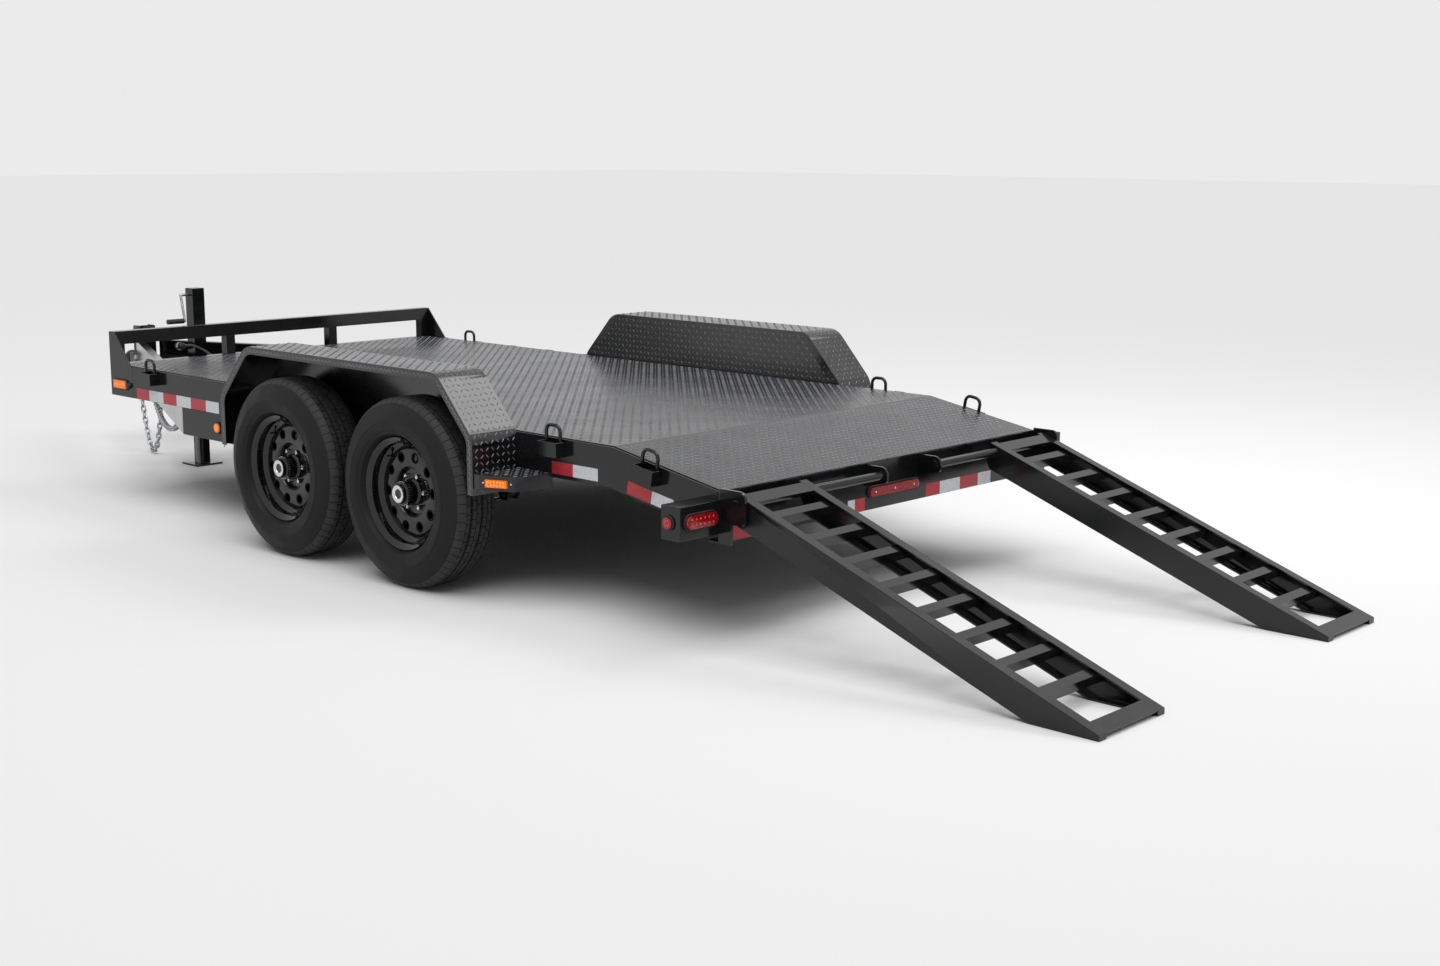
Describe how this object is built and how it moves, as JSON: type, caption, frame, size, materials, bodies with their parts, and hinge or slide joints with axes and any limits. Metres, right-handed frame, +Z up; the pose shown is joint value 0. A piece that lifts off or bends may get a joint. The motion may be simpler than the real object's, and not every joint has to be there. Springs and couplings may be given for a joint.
{
  "type": "tandem-axle equipment trailer",
  "caption": "Low plate-deck equipment trailer with a beavertail, folding ladder ramps, tandem axles under bent fenders, an A-frame tongue with a ball coupler and a drop-leg jack.",
  "frame": {"origin": "on the ground, in the middle of the length and of the width", "axes": "+X forward to the coupler, +Y to the trailer's left side, +Z up"},
  "size_m": [7.17, 2.479, 0.95],
  "materials": {
    "frame_paint": "gloss",
    "plate_paint": "semi-gloss",
    "wheel_paint": "gloss",
    "tyre_rubber": "matte",
    "zinc_steel": "satin",
    "red_lens": "gloss",
    "amber_lens": "gloss",
    "black_rubber": "matte"
  },
  "bodies": {
    "trailer": {"amber_lamps": "amber_lens", "axle_front": "frame_paint", "axle_rear": "frame_paint", "beavertail_plate": "plate_paint", "corner_plates": "frame_paint", "coupler": "frame_paint", "coupler_latch": "frame_paint", "crank_grip": "black_rubber", "crossmembers": "frame_paint", "d_rings": "frame_paint", "deck_plate": "plate_paint", "equalizers": "frame_paint", "fender_left": "plate_paint", "fender_right": "plate_paint", "fender_steps": "plate_paint", "front_crossmember": "frame_paint", "front_rail": "frame_paint", "jack_crank": "zinc_steel", "jack_leg": "frame_paint", "jack_tube": "frame_paint", "lamp_grommets": "black_rubber", "leaf_springs": "frame_paint", "light_boxes": "frame_paint", "nose_bolts": "zinc_steel", "nose_channel": "frame_paint", "pivot_ears": "frame_paint", "pivot_pipes": "frame_paint", "rear_crossmember": "frame_paint", "red_lamps": "red_lens", "ring_clips": "frame_paint", "side_rail_left": "frame_paint", "side_rail_right": "frame_paint", "spring_clamps": "zinc_steel", "spring_hangers": "frame_paint", "spring_shackles": "zinc_steel", "stake_pockets": "frame_paint", "tongue_crossmember": "frame_paint", "tongue_rail_left": "frame_paint", "tongue_rail_right": "frame_paint", "tongue_upper_left": "frame_paint", "tongue_upper_right": "frame_paint"},
    "wheel_front_left": {"tyre_front_left": "tyre_rubber", "wheel_front_left": "wheel_paint"},
    "wheel_front_right": {"tyre_front_right": "tyre_rubber", "wheel_front_right": "wheel_paint"},
    "wheel_rear_left": {"tyre_rear_left": "tyre_rubber", "wheel_rear_left": "wheel_paint"},
    "wheel_rear_right": {"tyre_rear_right": "tyre_rubber", "wheel_rear_right": "wheel_paint"},
    "ramp_left": {"ramp_stringers_left": "frame_paint", "ramp_rungs_left": "frame_paint"},
    "ramp_right": {"ramp_stringers_right": "frame_paint", "ramp_rungs_right": "frame_paint"}
  },
  "joints": [
    {"name": "wheel_front_left_spin", "type": "hinge", "parent": "trailer", "child": "wheel_front_left", "pos_m": [0.20662, 1.122, 0.376], "axis": [0, 1, 0], "continuous": true},
    {"name": "wheel_front_right_spin", "type": "hinge", "parent": "trailer", "child": "wheel_front_right", "pos_m": [0.20662, -1.122, 0.376], "axis": [0, 1, 0], "continuous": true},
    {"name": "wheel_rear_left_spin", "type": "hinge", "parent": "trailer", "child": "wheel_rear_left", "pos_m": [-0.60638, 1.122, 0.376], "axis": [0, 1, 0], "continuous": true},
    {"name": "wheel_rear_right_spin", "type": "hinge", "parent": "trailer", "child": "wheel_rear_right", "pos_m": [-0.60638, -1.122, 0.376], "axis": [0, 1, 0], "continuous": true},
    {"name": "ramp_left_fold", "type": "hinge", "parent": "trailer", "child": "ramp_left", "pos_m": [-2.155, 0.759, 0.51171], "axis": [0, 1, 0], "range_deg": [0, 110]},
    {"name": "ramp_right_fold", "type": "hinge", "parent": "trailer", "child": "ramp_right", "pos_m": [-2.155, -0.759, 0.51171], "axis": [0, 1, 0], "range_deg": [0, 110]}
  ]
}
